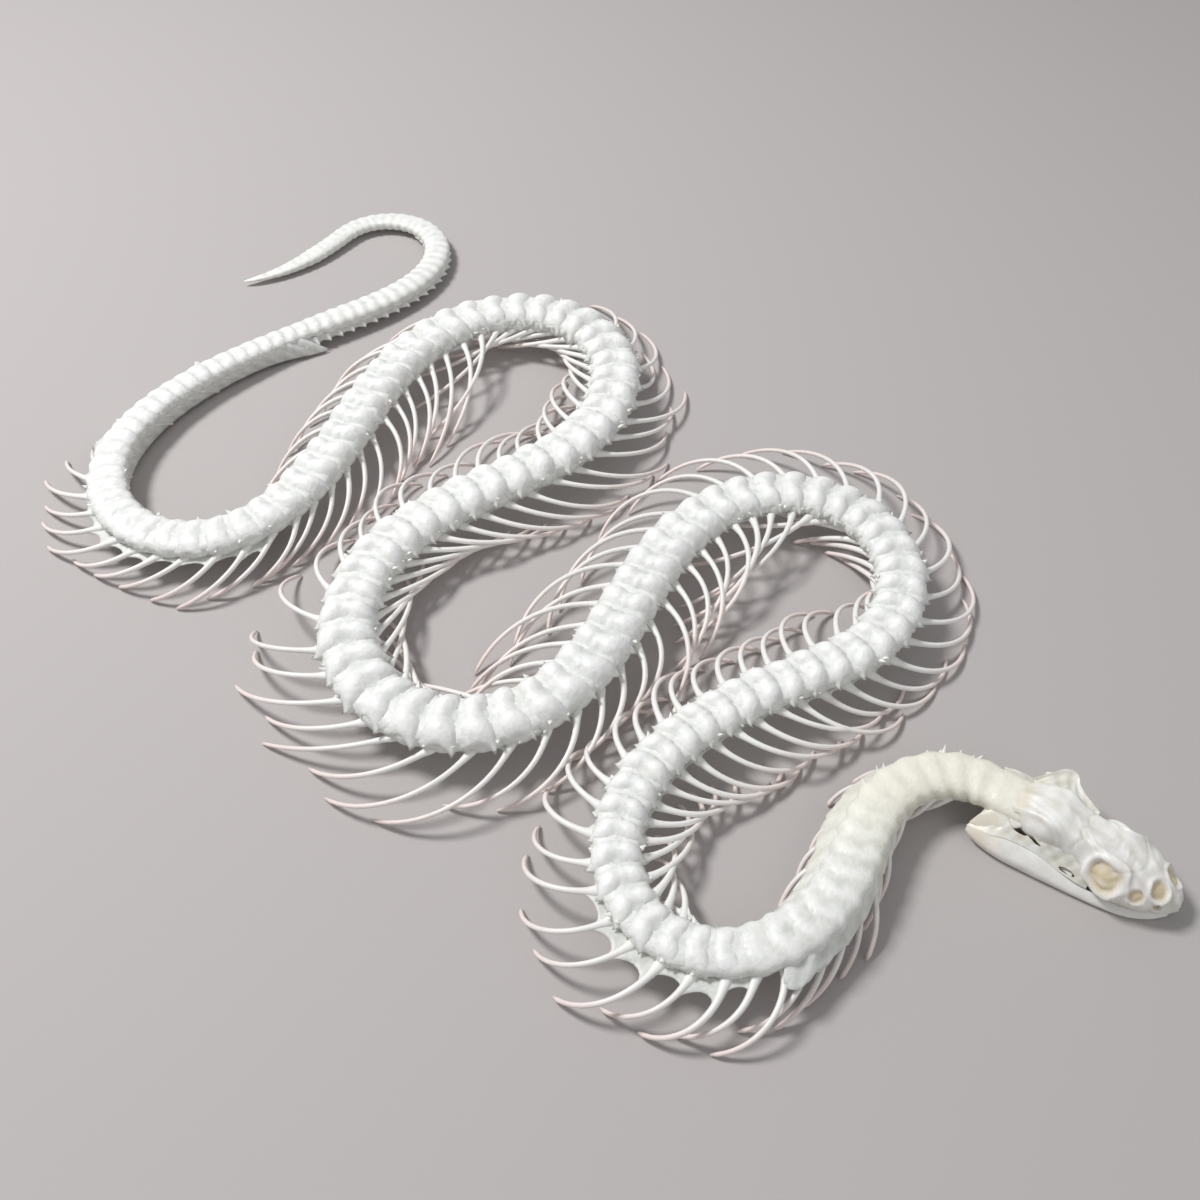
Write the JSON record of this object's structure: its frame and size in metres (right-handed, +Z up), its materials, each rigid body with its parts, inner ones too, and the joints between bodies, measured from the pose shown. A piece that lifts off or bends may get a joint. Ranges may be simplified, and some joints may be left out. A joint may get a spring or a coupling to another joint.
{
  "type": "snake skeleton",
  "caption": "Life-size skeleton of a small water snake lying in loose bends, with a long chain of vertebrae, curved paired ribs, an open-eyed skull and a bare tapering tail.",
  "frame": {"origin": "on the floor, under the middle of the whole skeleton's outline", "axes": "+Z up, +Y from the bend nearest the viewer to the far bends, +X towards the side that the skull points to"},
  "size_m": [0.1584, 0.1696, 0.0088],
  "materials": {
    "body_bone": "dry cleaned bone, cool white with a faint grey shade, matte",
    "skull_bone": "dry bone, ivory, with dried tan tissue in the openings, matte"
  },
  "bodies": {
    "root": {"neck_right": "body_bone", "neck_left": "body_bone", "trunk_01_right": "body_bone", "trunk_01_left": "body_bone", "trunk_02_right": "body_bone", "trunk_02_left": "body_bone", "trunk_03_right": "body_bone", "trunk_03_left": "body_bone", "trunk_04_right": "body_bone", "trunk_04_left": "body_bone", "trunk_05_right": "body_bone", "trunk_05_left": "body_bone", "trunk_06_right": "body_bone", "trunk_06_left": "body_bone", "trunk_07_right": "body_bone", "trunk_07_left": "body_bone", "trunk_08_right": "body_bone", "trunk_08_left": "body_bone", "trunk_09_right": "body_bone", "trunk_09_left": "body_bone", "trunk_10_right": "body_bone", "trunk_10_left": "body_bone", "trunk_11_right": "body_bone", "trunk_11_left": "body_bone", "tail_1": "body_bone", "tail_2": "body_bone", "tail_3": "body_bone", "cranium": "skull_bone", "mandible_left": "skull_bone", "mandible_right": "skull_bone", "quadrate_left": "skull_bone", "quadrate_right": "skull_bone", "pterygoid_left": "skull_bone", "pterygoid_right": "skull_bone"}
  },
  "joints": []
}
